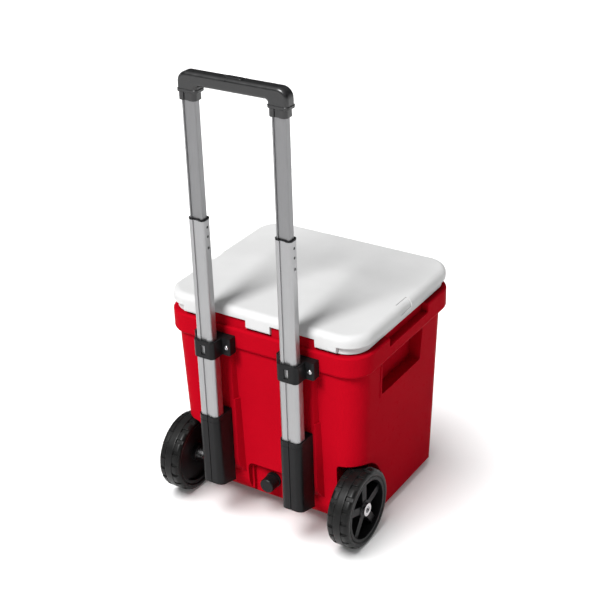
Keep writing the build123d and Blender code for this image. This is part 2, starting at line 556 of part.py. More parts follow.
def grip_form():
    """The bar and the two legs, rounded at the outer corners, as a plate along X."""
    leg_low = GRIP_Z[0] + CUFF_HIGH
    frame = Pos(0, (leg_low + GRIP_Z[1]) / 2) * Rectangle(2 * TUBE_X + GRIP_LEG, GRIP_Z[1] - leg_low)
    gap_height = GRIP_BAR_LOW - GRIP_Z[0]
    gap = Pos(0, GRIP_BAR_LOW - gap_height / 2) * Rectangle(2 * TUBE_X - GRIP_LEG, gap_height)
    outline = frame - gap
    outline = fillet(outline.vertices().group_by(Axis.Y)[-1], GRIP_R)
    inner = [v for v in outline.vertices() if abs(v.Y - GRIP_BAR_LOW) < 0.1 and abs(v.X) < TUBE_X]
    outline = fillet(inner, GRIP_INNER_R)
    return extrude(Plane.XZ.offset(GRIP_DEPTH / 2 - GRIP_Y) * outline, amount=-GRIP_DEPTH)


def round_grip(form):
    """Round the long edges on the front and the back, but not those at the feet of the legs."""
    leg_low = GRIP_Z[0] + CUFF_HIGH
    front_back = []
    for edge in form.edges():
        middle = edge.center()
        on_face = abs(abs(middle.Y - GRIP_Y) - GRIP_DEPTH / 2) < 0.05
        if on_face and edge.length > 3 and abs(middle.Z - leg_low) > 1:
            front_back.append(edge)
    return fillet(front_back, GRIP_SIDE_R)


def button_shape(grow, z):
    size = (2 * (BUTTON_HALF + grow), BUTTON_DEPTH + 2 * grow)
    return prism(Pos(0, GRIP_Y) * RectangleRounded(*size, BUTTON_CORNER + grow), z)


def make_grip():
    """Grip in two halves with cuffs round the inner tubes, and the screws that join the halves."""
    leg_low = GRIP_Z[0] + CUFF_HIGH
    cuff = prism(tube_profile(INNER, CUFF_WALL), (GRIP_Z[0], leg_low + OVERCUT))
    lip_size = (GRIP_LEG + 2 * LIP_PROUD, GRIP_DEPTH + 2 * LIP_PROUD)
    lip = prism(Pos(TUBE_X, GRIP_Y) * RectangleRounded(*lip_size, LIP_CORNER), (leg_low, leg_low + LIP_HIGH))
    lip = fillet(lip.edges().filter_by(Plane.XY), LIP_EDGE_R)
    form = add_all(round_grip(grip_form()), both(cuff) + both(lip))
    bores = both(prism(tube_profile(INNER), (GRIP_Z[0] - OVERCUT, INNER_Z[1])))
    pocket = button_shape(BUTTON_GAP, (BUTTON_POCKET_LOW, GRIP_Z[1] + OVERCUT))
    channel_x = around(0, ROD_X + BAR_OVERHANG + ROD_R)
    channel_z = (BUTTON_POCKET_LOW + OVERCUT, GRIP_SPLIT)
    channel = block(channel_x, around(GRIP_Y, BAR_HALF + CHANNEL_GAP), channel_z)
    rod_holes = both(rod_z(ROD_R + ROD_GAP, ROD_X, GRIP_Y, (INNER_Z[1] - OVERCUT, GRIP_SPLIT)))
    form = cut_all(form, bores + [pocket, channel] + rod_holes)
    above = block(ALL, ALL, (GRIP_SPLIT, GRIP_SPLIT + FAR))
    upper = form & above
    lower = form - above
    screws = []
    head_z = (GRIP_BAR_LOW + GRIP_SCREW_SUNK, GRIP_BAR_LOW + GRIP_SCREW_SUNK + GRIP_SCREW_HEAD)
    for x in GRIP_SCREW_XS:
        hole = rod_z(GRIP_SCREW_R, x, GRIP_SCREW_Y, (head_z[1], GRIP_SPLIT + GRIP_SCREW_BITE + OVERCUT))
        counterbore = rod_z(GRIP_SCREW_HEAD_R, x, GRIP_SCREW_Y, (GRIP_BAR_LOW - OVERCUT, head_z[1]))
        head = rod_z(GRIP_SCREW_HEAD_R, x, GRIP_SCREW_Y, head_z)
        shank = rod_z(GRIP_SCREW_R, x, GRIP_SCREW_Y, (head_z[1], GRIP_SPLIT + GRIP_SCREW_BITE))
        screws += both(head + shank)
        lower = cut_all(lower, both(hole) + both(counterbore))
        upper = cut_all(upper, both(hole))
    return lower, upper, screws


def make_button():
    """Push button, the cross bar under it, the rods down the inner tubes and the two springs."""
    cap = button_shape(0, (BUTTON_LOW, GRIP_Z[1] + BUTTON_PROUD))
    cap = fillet(cap.faces().sort_by(Axis.Z)[-1].edges(), BUTTON_EDGE_R)
    bar_low = BUTTON_LOW - BAR_THICK
    bar = block(around(0, ROD_X + BAR_OVERHANG), around(GRIP_Y, BAR_HALF), (bar_low, BUTTON_LOW))
    rods = both(rod_z(ROD_R, ROD_X, GRIP_Y, (LOCK_Z + ROD_ABOVE_LOCK, bar_low)))
    spring = rod_z(SPRING_R, SPRING_X, GRIP_Y, (BUTTON_POCKET_LOW, bar_low))
    spring = spring - rod_z(SPRING_BORE, SPRING_X, GRIP_Y, (BUTTON_POCKET_LOW - OVERCUT, bar_low + OVERCUT))
    return cap, bar, rods, both(spring)


def make_lock():
    """Lock housing in the foot of the inner tube, and the pin that it guides sideways."""
    y = stage_centre(INNER)
    half = INNER[0] / 2
    body = prism(tube_profile(INNER, -TUBE_WALL), around(LOCK_Z, LOCK_HALF))
    body = body - rod_x(LOCK_HOLE_R, (TUBE_X - half / 2 - OVERCUT, TUBE_X + INNER[0]), y, LOCK_Z)
    rod_room = (LOCK_Z + ROD_POCKET, LOCK_Z + LOCK_HALF + OVERCUT)
    body = body - rod_z(ROD_R + CLEAR, ROD_X, GRIP_Y, rod_room)
    pin = rod_x(LOCK_PIN_R, (TUBE_X - ROD_POCKET, TUBE_X + half - CLEAR), y, LOCK_Z)
    return body, pin


# ---- lid ---------------------------------------------------------------------------
def lid_tile(inset, z):
    """The lid's plan, moved inwards by the inset."""
    return tile(LID_HALF - inset, (LID_REAR + inset, LID_FRONT - inset), LID_CORNER - inset, z)


def lid_outside():
    """The lid's slab, the band under it, its rear tabs and the ears for the latches."""
    slab = lid_tile(0, (BAND_TOP, LID_TOP))
    slab = fillet(slab.faces().sort_by(Axis.Z)[-1].edges(), LID_EDGE_R)
    slab = fillet(slab.faces().sort_by(Axis.Z)[0].edges(), LID_UNDER_R)
    form = slab + lid_tile(BAND_INSET, (BAND_LOW, BAND_TOP + BAND_LAP))
    tab_y = (LID_REAR, LID_REAR + TAB_DEPTH)
    tab_z = (BAND_LOW + TAB_LIFT, BAND_TOP + BAND_LAP)
    tabs = both(block((BLOCK_X[1], TAB_END), tab_y, tab_z))
    tabs.append(block(around(0, BLOCK_X[0]), tab_y, tab_z))
    for tab in tabs:
        lower_rear = tab.edges().filter_by(Axis.X).sort_by(lambda e: e.center().Y + e.center().Z)[0]
        form = form + fillet(lower_rear, TAB_EDGE_R)
    for x in around(LATCH_X, LATCH_HALF + EAR_AT):
        ear = block(around(x, EAR_HALF), (LID_FRONT - EAR_ROOT, LATCH_Y + LATCH_R), EAR_Z)
        front = [e for e in ear.edges().filter_by(Axis.X) if e.center().Y > LATCH_Y]
        form = add_all(form, both(fillet(front, EAR_R)))
    return form


def scoop():
    """A shallow thumb scoop over the lid's side edge."""
    centre_x, centre_z = LID_HALF - LID_EDGE_R, LID_TOP - LID_EDGE_R
    bar = block((centre_x, FAR), SCOOP_Y, (SCOOP_LOW, LID_TOP + OVERCUT))
    kept = rod_y(LID_EDGE_R - SCOOP_DEEP, centre_x, SCOOP_Y, centre_z)
    kept = kept + block((centre_x, LID_HALF - SCOOP_DEEP), SCOOP_Y, (SCOOP_LOW, centre_z))
    return bar - kept


def lid_cuts(beam):
    """Recess under the lid, notches and bores for the hinges and the latches, thumb scoops."""
    recess = lid_tile(BAND_INSET + LID_WALL, (BAND_LOW - OVERCUT, LID_PLATE)) - beam
    hinge_far = HINGE_R + NOTCH_GAP
    notch = block(BLOCK_X, (-FAR, HINGE_Y + hinge_far), (0, HINGE_Z + hinge_far))
    bore = rod_x(PIN_R + RUNNING, PIN_BORE_X, HINGE_Y, HINGE_Z)
    notch_y = (LATCH_Y - LATCH_R - LATCH_NOTCH_SIDE, FAR)
    latch_notch = block(
        around(LATCH_X, LATCH_HALF + LATCH_NOTCH_SIDE), notch_y, (0, LATCH_Z + LATCH_R + LATCH_NOTCH_GAP)
    )
    latch_bore = rod_x(LATCH_PIN_R, around(LATCH_X, LATCH_HALF + LATCH_BORE_PAST), LATCH_Y, LATCH_Z)
    cuts = [recess]
    for tool in (notch, bore, latch_notch, latch_bore, scoop()):
        cuts += both(tool)
    return cuts


def lid_plug(inset, z):
    gap = PLUG_GAP + inset
    return tile(SPACE_HALF - gap, (SPACE_REAR + gap, SPACE_FRONT - gap), SPACE_CORNER - gap, z)


def rim_ring(inset, z):
    width = RIM_WIDTH - inset
    return tile(SPACE_HALF + width, (SPACE_REAR - width, SPACE_FRONT + width), SPACE_CORNER + width, z)


def make_lid():
    beam_x = around(0, TAB_END + HINGE_BEAM_SIDE)
    beam = block(beam_x, (-FAR, HINGE_Y + HINGE_BEAM), (0, HINGE_Z + HINGE_BEAM))
    core = lid_tile(BAND_INSET + LID_WALL, (LID_PLATE, LID_TOP - LID_WALL)) - beam
    top = cut_all(lid_outside(), [core] + lid_cuts(beam))
    plate_top = LID_PLATE + LINER
    lined = block(ALL, ALL, (LID_PLATE, plate_top))
    hollow = lid_plug(LINER, (PLUG_LOW + LINER, plate_top))
    liner = (core & lined) + lid_plug(0, (PLUG_LOW, plate_top)) - hollow
    foam = (core - lined) + hollow
    gasket = rim_ring(GASKET_INSET, (RIM_TOP + CLEAR, LID_PLATE))
    gasket = gasket - rim_ring(GASKET_INSET + GASKET_WIDTH, (RIM_TOP, LID_PLATE + OVERCUT))
    hinge_pin = rod_x(PIN_R, PIN_X, HINGE_Y, HINGE_Z)
    latch_pin = rod_x(LATCH_PIN_R, around(LATCH_X, LATCH_HALF + LATCH_PIN_PAST), LATCH_Y, LATCH_Z)
    return top, liner, foam, gasket, hinge_pin, latch_pin


def make_latch():
    """A draw latch, drawn snapped shut and then swung out by the small rest angle."""
    width = around(LATCH_X, LATCH_HALF)
    barrel = rod_x(LATCH_R, width, LATCH_Y, LATCH_Z)
    plate = block(width, (LATCH_Y, LATCH_Y + LATCH_THICK), (LATCH_LOW, LATCH_Z))
    plate = fillet(plate.edges().filter_by(Axis.Y).group_by(Axis.Z)[0], LATCH_CORNER)
    outer = plate.faces().sort_by(Axis.Y)[-1].edges().filter_by(lambda e: e.center().Z < LATCH_EDGE_TOP)
    plate = fillet(outer, LATCH_EDGE_R)
    pull = rod_x(PULL_R, around(LATCH_X, PULL_HALF), LATCH_Y + PULL_PROUD, LATCH_LOW + PULL_UP)
    hook_top = KEEPER_Z[0] - HOOK_GAP
    hook_y = (COLLAR_FRONT + HOOK_GAP, LATCH_Y + OVERCUT)
    hook = block(around(LATCH_X, HOOK_HALF), hook_y, (hook_top - HOOK_HIGH, hook_top))
    bore = rod_x(LATCH_PIN_R + RUNNING, around(LATCH_X, LATCH_HALF + OVERCUT), LATCH_Y, LATCH_Z)
    latch = barrel + plate + pull + hook - bore
    return Pos(0, LATCH_Y, LATCH_Z) * Rot(LATCH_OPEN, 0, 0) * Pos(0, -LATCH_Y, -LATCH_Z) * latch


# ---- wheels ----------------------------------------------------------------------------
def axle_rod(radius, x):
    return rod_x(radius, x, WHEEL_Y, WHEEL_R)


def make_tyre():
    """Tyre with staggered gaps between the blocks along both shoulders."""
    width = WHEEL_OUT - WHEEL_IN
    tyre = fillet(rod_x(WHEEL_R, (-width / 2, width / 2), 0, 0).edges(), TYRE_EDGE_R)
    tyre = tyre - rod_x(RIM_R, (-width, width), 0, 0)
    for k in range(TREAD_BLOCKS):
        for side, turn in ((-1, k), (1, k + 0.5)):
            gap = Pos(side * width / 2, 0, WHEEL_R) * Box(2 * TREAD_REACH, TREAD_GAP, 2 * TREAD_DEPTH)
            tyre = tyre - Rot(360 * turn / TREAD_BLOCKS, 0, 0) * gap
    return Pos((WHEEL_IN + WHEEL_OUT) / 2, WHEEL_Y, WHEEL_R) * tyre


def make_hub(boss_end):
    """Rim, web, spokes and boss, bored for the two bushes."""
    rim = axle_rod(RIM_R, (WHEEL_IN + 2, WHEEL_OUT - 1)) - axle_rod(RIM_R - RIM_THICK, (WHEEL_IN, WHEEL_OUT))
    hub = rim + axle_rod(HUB_BOSS_R, (WHEEL_IN + 1, boss_end)) + axle_rod(RIM_R - RIM_THICK + 1, HUB_WEB_X)
    near, far = SPOKE_LENGTH
    spoke = Polygon(
        (near, -SPOKE_ROOT_HALF),
        (far, -SPOKE_TIP_HALF),
        (far, SPOKE_TIP_HALF),
        (near, SPOKE_ROOT_HALF),
        align=None,
    )
    face = Plane.YZ.offset((HUB_WEB_X[0] + HUB_WEB_X[1]) / 2)
    for k in range(SPOKES):
        bar = extrude(face * Rot(0, 0, 90 + 360 * k / SPOKES) * spoke, amount=SPOKE_THICK)
        hub = hub + Pos(0, WHEEL_Y, WHEEL_R) * bar
    return hub - axle_rod(BUSH_R, (WHEEL_IN, WHEEL_OUT + OVERCUT))


def make_wheel():
    boss_in, boss_end = WHEEL_IN + 1, CLIP_X[0] - CLEAR
    bushes = []
    for low, high in ((boss_in, boss_in + BUSH_LENGTH), (boss_end - BUSH_LENGTH, boss_end)):
        bush = axle_rod(BUSH_R, (low, high)) - axle_rod(AXLE_R + RUNNING, (low - OVERCUT, high + OVERCUT))
        bushes.append(bush)
    axle = axle_rod(AXLE_R, (AXLE_IN, CLIP_X[1])) + axle_rod(AXLE_COLLAR_R, (WELL_IN, boss_in - CLEAR))
    axle = axle - axle_rod(AXLE_BORE_R, (CLIP_X[1] - AXLE_BORE_DEEP, CLIP_X[1] + OVERCUT))
    clip = axle_rod(CLIP_R, (CLIP_X[0], CLIP_CUP_X))
    clip = clip - axle_rod(AXLE_R, (CLIP_X[0] - OVERCUT, CLIP_X[1] + OVERCUT))
    clip = clip - axle_rod(CLIP_CUP_R, (CLIP_X[1], WHEEL_OUT))
    return make_tyre(), make_hub(boss_end), bushes, axle, clip


# ---- build ---------------------------------------------------------------------------------
def write_tub():
    shell, foam, liner = make_tub()
    write("tub_shell", shell)
    write("tub_foam", foam)
    write("tub_liner", liner)
    foot, foot_screw = make_feet()
    write("front_feet", *both(foot))
    write("foot_screws", *both(foot_screw))
    for name, piece in zip(("bushing", "nut", "seal", "plug"), make_drain()):
        write(f"drain_{name}", piece)


def write_handle():
    for name, make in (("clamp", make_clamp), ("socket", make_socket)):
        body, screws = make()
        write_sides(f"tube_{name}", body)
        write(f"{name}_screws", *[s for screw in screws for s in both(screw)])
    write_sides("outer_tube", tube(OUTER, OUTER_Z))
    write_sides("middle_tube", middle_tube())
    write_sides("inner_tube", inner_tube())
    write("middle_bushings", *both(middle_bushing()))
    write("middle_glides", *both(glide(MIDDLE, OUTER)))
    lower, upper, grip_screws = make_grip()
    write("grip_body", lower)
    write("grip_cover", upper)
    write("grip_screws", *grip_screws)
    cap, bar, rods, springs = make_button()
    write("release_button", cap)
    write("button_bar", bar)
    write("push_rods", *rods)
    write("button_springs", *springs)
    housing, pin = make_lock()
    write("lock_housings", *both(housing))
    write_sides("lock_pin", pin)


def write_lid():
    top, liner, foam, gasket, hinge_pin, latch_pin = make_lid()
    write("lid_shell", top)
    write("lid_liner", liner)
    write("lid_foam", foam)
    write("lid_gasket", gasket)
    write("hinge_pins", *both(hinge_pin))
    write("latch_pins", *both(latch_pin))
    write_sides("latch", make_latch())


def write_wheels():
    tyre, hub, bushes, axle, clip = make_wheel()
    write_sides("tyre", tyre)
    write_sides("wheel_hub", hub)
    write("wheel_bushes_right", *bushes)
    write("wheel_bushes_left", *[b.mirror(Plane.YZ) for b in bushes])
    write_sides("axle", axle)
    write_sides("axle_clip", clip)


os.makedirs("parts", exist_ok=True)
write_tub()
write_handle()
write_lid()
write_wheels()
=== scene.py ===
import bpy
import json
import math
from mathutils import Matrix, Vector


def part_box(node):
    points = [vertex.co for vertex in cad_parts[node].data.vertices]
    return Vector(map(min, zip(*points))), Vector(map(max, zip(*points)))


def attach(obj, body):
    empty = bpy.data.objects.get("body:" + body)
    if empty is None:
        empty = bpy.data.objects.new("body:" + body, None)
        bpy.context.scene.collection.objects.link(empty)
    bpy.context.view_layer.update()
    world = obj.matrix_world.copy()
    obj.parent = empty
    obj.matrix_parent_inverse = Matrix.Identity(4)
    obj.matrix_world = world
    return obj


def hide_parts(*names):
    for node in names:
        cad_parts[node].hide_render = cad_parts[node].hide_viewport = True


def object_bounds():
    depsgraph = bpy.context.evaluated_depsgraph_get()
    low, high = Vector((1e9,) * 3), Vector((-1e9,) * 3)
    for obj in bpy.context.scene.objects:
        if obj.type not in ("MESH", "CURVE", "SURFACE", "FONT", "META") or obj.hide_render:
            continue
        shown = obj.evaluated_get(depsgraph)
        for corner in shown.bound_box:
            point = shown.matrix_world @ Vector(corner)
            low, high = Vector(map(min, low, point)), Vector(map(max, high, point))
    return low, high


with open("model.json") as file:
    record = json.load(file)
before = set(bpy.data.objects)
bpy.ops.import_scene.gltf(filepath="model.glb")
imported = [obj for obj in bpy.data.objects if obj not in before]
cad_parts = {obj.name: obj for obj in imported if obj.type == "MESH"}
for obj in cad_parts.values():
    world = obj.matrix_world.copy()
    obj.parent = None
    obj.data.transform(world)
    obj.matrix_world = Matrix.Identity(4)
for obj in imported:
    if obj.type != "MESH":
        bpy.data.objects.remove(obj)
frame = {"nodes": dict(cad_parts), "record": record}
cad_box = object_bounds()
SLOT_OF = {part["node"]: part["material_slot"] for part in frame["record"]["subparts"]}

# ---- camera, from the photo ---------------------------------------------------
CAMERA_AZIMUTH = 32.893        # degrees, from straight behind the handle towards +X
CAMERA_ELEVATION = 27.572
CAMERA_ROLL = -1.871
CAMERA_DISTANCE = 2.9092
CAMERA_FOCAL = 2.31596         # focal length over the picture's width
CAMERA_AIM = Vector((0.0028, -0.0256, -0.0441))
SENSOR = 36.0
CAMERA_REACH = 100.0

# ---- light -----------------------------------------------------------------
FLOOR_REACH = 30.0
FLOOR_ROUGH, FLOOR_SPECULAR = 0.8, 0.2
FLOOR_COLOUR, FLOOR_GLOW = (0.80, 0.80, 0.80, 1), 0.08
# height of the direction, light there
SKY = ((0.0, 1.0), (0.06, 1.0), (0.09, 0.02), (0.50, 0.08), (0.85, 1.0))
SKY_STRENGTH = 0.80
KEY = dict(azimuth=-8, elevation=51, strength=5.4, angle=19)        # on the object
FLOOR_LIGHT = dict(azimuth=-36, elevation=69, strength=4.5, angle=46)     # on the floor

# ---- tyre tread -----------------------------------------------------------------
TREAD_BLOCKS = 20
TREAD_GAP = 0.17               # half of the gap between two blocks, over the pitch
TREAD_DEPTH = 0.0040
TREAD_REACH = 0.0165           # how far the blocks reach in from a side
TREAD_BEVEL = 0.0010
GROOVE_WIDTH, GROOVE_DEPTH = 0.0016, 0.0013     # between a block and the smooth middle
TREAD_WALL = 0.012             # half of the slope at a gap's edge, over the pitch
WALL_STEPS = tuple(TREAD_GAP + TREAD_WALL * k / 2 for k in range(-2, 3))
# over the pitch, from a gap's middle
TREAD_STEPS = (0.0, 0.08, 0.14, *WALL_STEPS, 0.20, 0.25, 0.33, 0.42, 0.5)
TREAD_STOPS, SHOULDER_STOPS = 8, 10
TYRE_EDGE = 0.0088
BEAD_STEPS = ((0, 0.0030), (0.0008, 0.0016), (0.0024, 0.0006), (0.0040, 0))   # inwards, up from the rim


def make_camera():
    low, high = (Vector(corner) for corner in cad_box)
    aim = (low + high) / 2 + CAMERA_AIM
    azimuth = math.radians(CAMERA_AZIMUTH)
    elevation = math.radians(CAMERA_ELEVATION)
    forward = Vector((
        -math.sin(azimuth) * math.cos(elevation),
        math.cos(azimuth) * math.cos(elevation),
        -math.sin(elevation),
    ))
    right = forward.cross(Vector((0, 0, 1))).normalized()
    up = right.cross(forward)
    roll = math.radians(CAMERA_ROLL)
    right_rolled = right * math.cos(roll) + up * math.sin(roll)
    up_rolled = up * math.cos(roll) - right * math.sin(roll)
    data = bpy.data.cameras.new("camera")
    data.sensor_width = SENSOR
    data.lens = CAMERA_FOCAL * SENSOR
    data.clip_end = CAMERA_REACH
    camera = bpy.data.objects.new("camera", data)
    turn = Matrix((right_rolled, up_rolled, -forward)).transposed()
    camera.matrix_world = Matrix.Translation(aim - forward * CAMERA_DISTANCE) @ turn.to_4x4()
    bpy.context.scene.collection.objects.link(camera)
    bpy.context.scene.camera = camera


def make_floor():
    reach = FLOOR_REACH
    mesh = bpy.data.meshes.new("floor")
    corners = [(-reach, -reach, 0), (reach, -reach, 0), (reach, reach, 0), (-reach, reach, 0)]
    mesh.from_pydata(corners, [], [(0, 1, 2, 3)])
    floor = bpy.data.objects.new("floor", mesh)
    bpy.context.scene.collection.objects.link(floor)
    material = bpy.data.materials.new("floor_white")
    material.use_nodes = True
    shader = material.node_tree.nodes["Principled BSDF"]
    shader.inputs["Base Color"].default_value = FLOOR_COLOUR
    shader.inputs["Emission Color"].default_value = (1, 1, 1, 1)
    shader.inputs["Emission Strength"].default_value = FLOOR_GLOW
    shader.inputs["Roughness"].default_value = FLOOR_ROUGH
    shader.inputs["Specular IOR Level"].default_value = FLOOR_SPECULAR
    mesh.materials.append(material)
    return floor


def make_sky():
    """A studio: a bright band at the horizon, dark above it and bright overhead."""
    world = bpy.data.worlds.new("studio")
    bpy.context.scene.world = world
    world.use_nodes = True
    nodes, links = world.node_tree.nodes, world.node_tree.links
    place = nodes.new("ShaderNodeTexCoord")
    split = nodes.new("ShaderNodeSeparateXYZ")
    ramp = nodes.new("ShaderNodeValToRGB")
    while len(ramp.color_ramp.elements) < len(SKY):
        ramp.color_ramp.elements.new(0.5)
    for element, (height, light) in zip(ramp.color_ramp.elements, SKY):
        element.position = height
        element.color = (light, light, light, 1)
    links.new(place.outputs["Generated"], split.inputs[0])
    links.new(split.outputs["Z"], ramp.inputs[0])
    links.new(ramp.outputs[0], nodes["Background"].inputs["Color"])
    nodes["Background"].inputs["Strength"].default_value = SKY_STRENGTH


def add_sun(name, floor, on_floor, azimuth, elevation, strength, angle):
    """A soft sun on the floor alone or on all but the floor.

    Azimuth 0 shines along +Y, a positive one comes from the right.
    """
    data = bpy.data.lights.new(name, "SUN")
    data.energy = strength
    data.angle = math.radians(angle)
    light = bpy.data.objects.new(name, data)
    a, e = math.radians(azimuth), math.radians(elevation)
    towards = Vector((-math.sin(a) * math.cos(e), math.cos(a) * math.cos(e), -math.sin(e)))
    light.rotation_euler = towards.to_track_quat("-Z", "Y").to_euler()
    bpy.context.scene.collection.objects.link(light)
    lit = bpy.data.collections.new(f"{name}_lights")
    lit.objects.link(floor)
    lit.collection_objects[0].light_linking.link_state = "INCLUDE" if on_floor else "EXCLUDE"
    light.light_linking.receiver_collection = lit


# ---- materials ----------------------------------------------------------------
# noise scales are per metre, a bump is (strength, depth in metres),
# and a band is the part of the noise that counts
WAVE_SCALE, WAVE_BUMP = 9, (0.25, 0.002)
GRAIN_BUMP = (0.35, 0.00006)
RUB_SCALE, RUB_BAND = 38, (0.60, 0.78)
SCRATCH_SCALE, SCRATCH_STRETCH, SCRATCH_BAND, SCRATCH_SHARE = 60, (1, 1, 14), (0.66, 0.74), (0.25, 0.8)
SHEEN_SCALE, SHEEN_BELOW, SHEEN_ABOVE = 70, 0.05, 0.08
MOULD_SHADE = 0.93                      # the darker patches of a moulded colour
LINE_BUMP, LINE_SHADE, LINE_BAND = (0.22, 0.0001), 0.9, (0.12, 0.45)
LINE_ROUGH_BELOW, LINE_ROUGH_ABOVE = 0.06, 0.10
CLOUD_SCALE = 14
PIT_SCALE, PIT_BUMP, PIT_ROUGH_BELOW, PIT_ROUGH_ABOVE = 1500, (0.5, 0.0001), 0.06, 0.12
DUST_SCALE, DUST_MOST, DUST_BAND = 30, 0.8, (0.45, 0.85)
CELL_SCALE, CELL_BUMP, CELL_SHADE, FOAM_ROUGH = 700, (0.6, 0.0004), 0.7, 0.9
EVEN = (1, 1, 1)                        # no stretch: steel that isn't drawn
STEEL_SCALE = 420.0


class Nodes:
    """A material's node tree with short calls for the nodes that the finishes share."""

    def __init__(self, name):
        self.material = bpy.data.materials.new(name)
        self.material.use_nodes = True
        self.tree = self.material.node_tree
        self.shader = self.tree.nodes["Principled BSDF"]
        self.place = self.tree.nodes.new("ShaderNodeTexCoord").outputs["Object"]

    def link(self, a, b):
        self.tree.links.new(a, b)

    def noise(self, scale, detail=4.0, roughness=0.55, stretch=(1, 1, 1)):
        mapping = self.tree.nodes.new("ShaderNodeMapping")
        mapping.inputs["Scale"].default_value = stretch
        self.link(self.place, mapping.inputs["Vector"])
        node = self.tree.nodes.new("ShaderNodeTexNoise")
        node.inputs["Scale"].default_value = scale
        node.inputs["Detail"].default_value = detail
        node.inputs["Roughness"].default_value = roughness
        self.link(mapping.outputs[0], node.inputs["Vector"])
        return node.outputs["Fac"]

    def spread(self, source, low, high, start=0.3, end=0.7):
        node = self.tree.nodes.new("ShaderNodeMapRange")
        node.inputs["From Min"].default_value = start
        node.inputs["From Max"].default_value = end
        node.inputs["To Min"].default_value = low
        node.inputs["To Max"].default_value = high
        self.link(source, node.inputs["Value"])
        return node.outputs["Result"]

    def blend(self, factor, a, b):
        node = self.tree.nodes.new("ShaderNodeMix")
        node.data_type = "RGBA"
        for socket, value in ((6, a), (7, b)):
            if isinstance(value, tuple):
                node.inputs[socket].default_value = (*value, 1)
            else:
                self.link(value, node.inputs[socket])
        self.link(factor, node.inputs["Factor"])
        return node.outputs[2]

    def multiply(self, a, b):
        node = self.tree.nodes.new("ShaderNodeMath")
        node.operation = "MULTIPLY"
        self.link(a, node.inputs[0])
        self.link(b, node.inputs[1])
        return node.outputs[0]

    def bump(self, layers):
        """layers: (height, strength, distance) from the coarsest to the finest."""
        normal = None
        for height, strength, distance in layers:
            node = self.tree.nodes.new("ShaderNodeBump")
            node.inputs["Strength"].default_value = strength
            node.inputs["Distance"].default_value = distance
            self.link(height, node.inputs["Height"])
            if normal:
                self.link(normal, node.inputs["Normal"])
            normal = node.outputs[0]
        self.link(normal, self.shader.inputs["Normal"])

    def set(self, **values):
        for name, value in values.items():
            self.shader.inputs[name.replace("_", " ")].default_value = value


def moulded(name, colour, worn, rough, grain=2600.0, specular=0.5):
    """Moulded plastic: a fine grain, a slow wave in the surface, rubbed patches and light scratches."""
    m = Nodes(name)
    slow = m.noise(WAVE_SCALE, 3)
    fine = m.noise(grain, 2)
    rubbed = m.spread(m.noise(RUB_SCALE, 8, 0.7), 0, 1, *RUB_BAND)
    scratch = m.spread(m.noise(SCRATCH_SCALE, 6, 0.6, stretch=SCRATCH_STRETCH), 0, 1, *SCRATCH_BAND)
    tint = m.blend(m.spread(slow, 0, 1), tuple(MOULD_SHADE * c for c in colour), colour)
    marks = m.multiply(rubbed, m.spread(scratch, *SCRATCH_SHARE, 0, 1))
    m.link(m.blend(marks, tint, worn), m.shader.inputs["Base Color"])
    sheen = m.spread(m.noise(SHEEN_SCALE, 6, 0.65), rough - SHEEN_BELOW, rough + SHEEN_ABOVE)
    m.link(sheen, m.shader.inputs["Roughness"])
    m.bump([(slow, *WAVE_BUMP), (fine, *GRAIN_BUMP)])
    m.set(Specular_IOR_Level=specular)
    return m.material


def drawn_metal(name, colour, rough, stretch=(1, 1, 0.01), scale=900.0):
    """Extruded or drawn metal: fine lines along the length, with a little colour change between them."""
    m = Nodes(name)
    lines = m.noise(scale, 5, 0.6, stretch=stretch)
    cloud = m.noise(CLOUD_SCALE, 4)
    dark = tuple(LINE_SHADE * c for c in colour)
    m.link(m.blend(m.spread(lines, 0, 1), dark, colour), m.shader.inputs["Base Color"])
    low, high = rough - LINE_ROUGH_BELOW, rough + LINE_ROUGH_ABOVE
    m.link(m.spread(m.multiply(lines, cloud), low, high, *LINE_BAND), m.shader.inputs["Roughness"])
    m.bump([(lines, *LINE_BUMP)])
    m.set(Metallic=1.0)
    return m.material


def rubber(name, colour, dust, rough, specular=0.5):
    """Rubber: matte, finely pitted, with patches of pale dust."""
    m = Nodes(name)
    pits = m.noise(PIT_SCALE, 4, 0.7)
    cloud = m.spread(m.noise(DUST_SCALE, 7, 0.65), 0, DUST_MOST, *DUST_BAND)
    m.link(m.blend(cloud, colour, dust), m.shader.inputs["Base Color"])
    m.link(m.spread(pits, rough - PIT_ROUGH_BELOW, rough + PIT_ROUGH_ABOVE), m.shader.inputs["Roughness"])
    m.bump([(pits, *PIT_BUMP)])
    m.set(Specular_IOR_Level=specular)
    return m.material


def foam(name, colour):
    """Rigid foam: small open cells."""
    m = Nodes(name)
    cells = m.tree.nodes.new("ShaderNodeTexVoronoi")
    cells.inputs["Scale"].default_value = CELL_SCALE
    m.link(m.place, cells.inputs["Vector"])
    dark = tuple(CELL_SHADE * c for c in colour)
    m.link(m.blend(cells.outputs["Distance"], dark, colour), m.shader.inputs["Base Color"])
    m.bump([(cells.outputs["Distance"], *CELL_BUMP)])
    m.set(Roughness=FOAM_ROUGH)
    return m.material


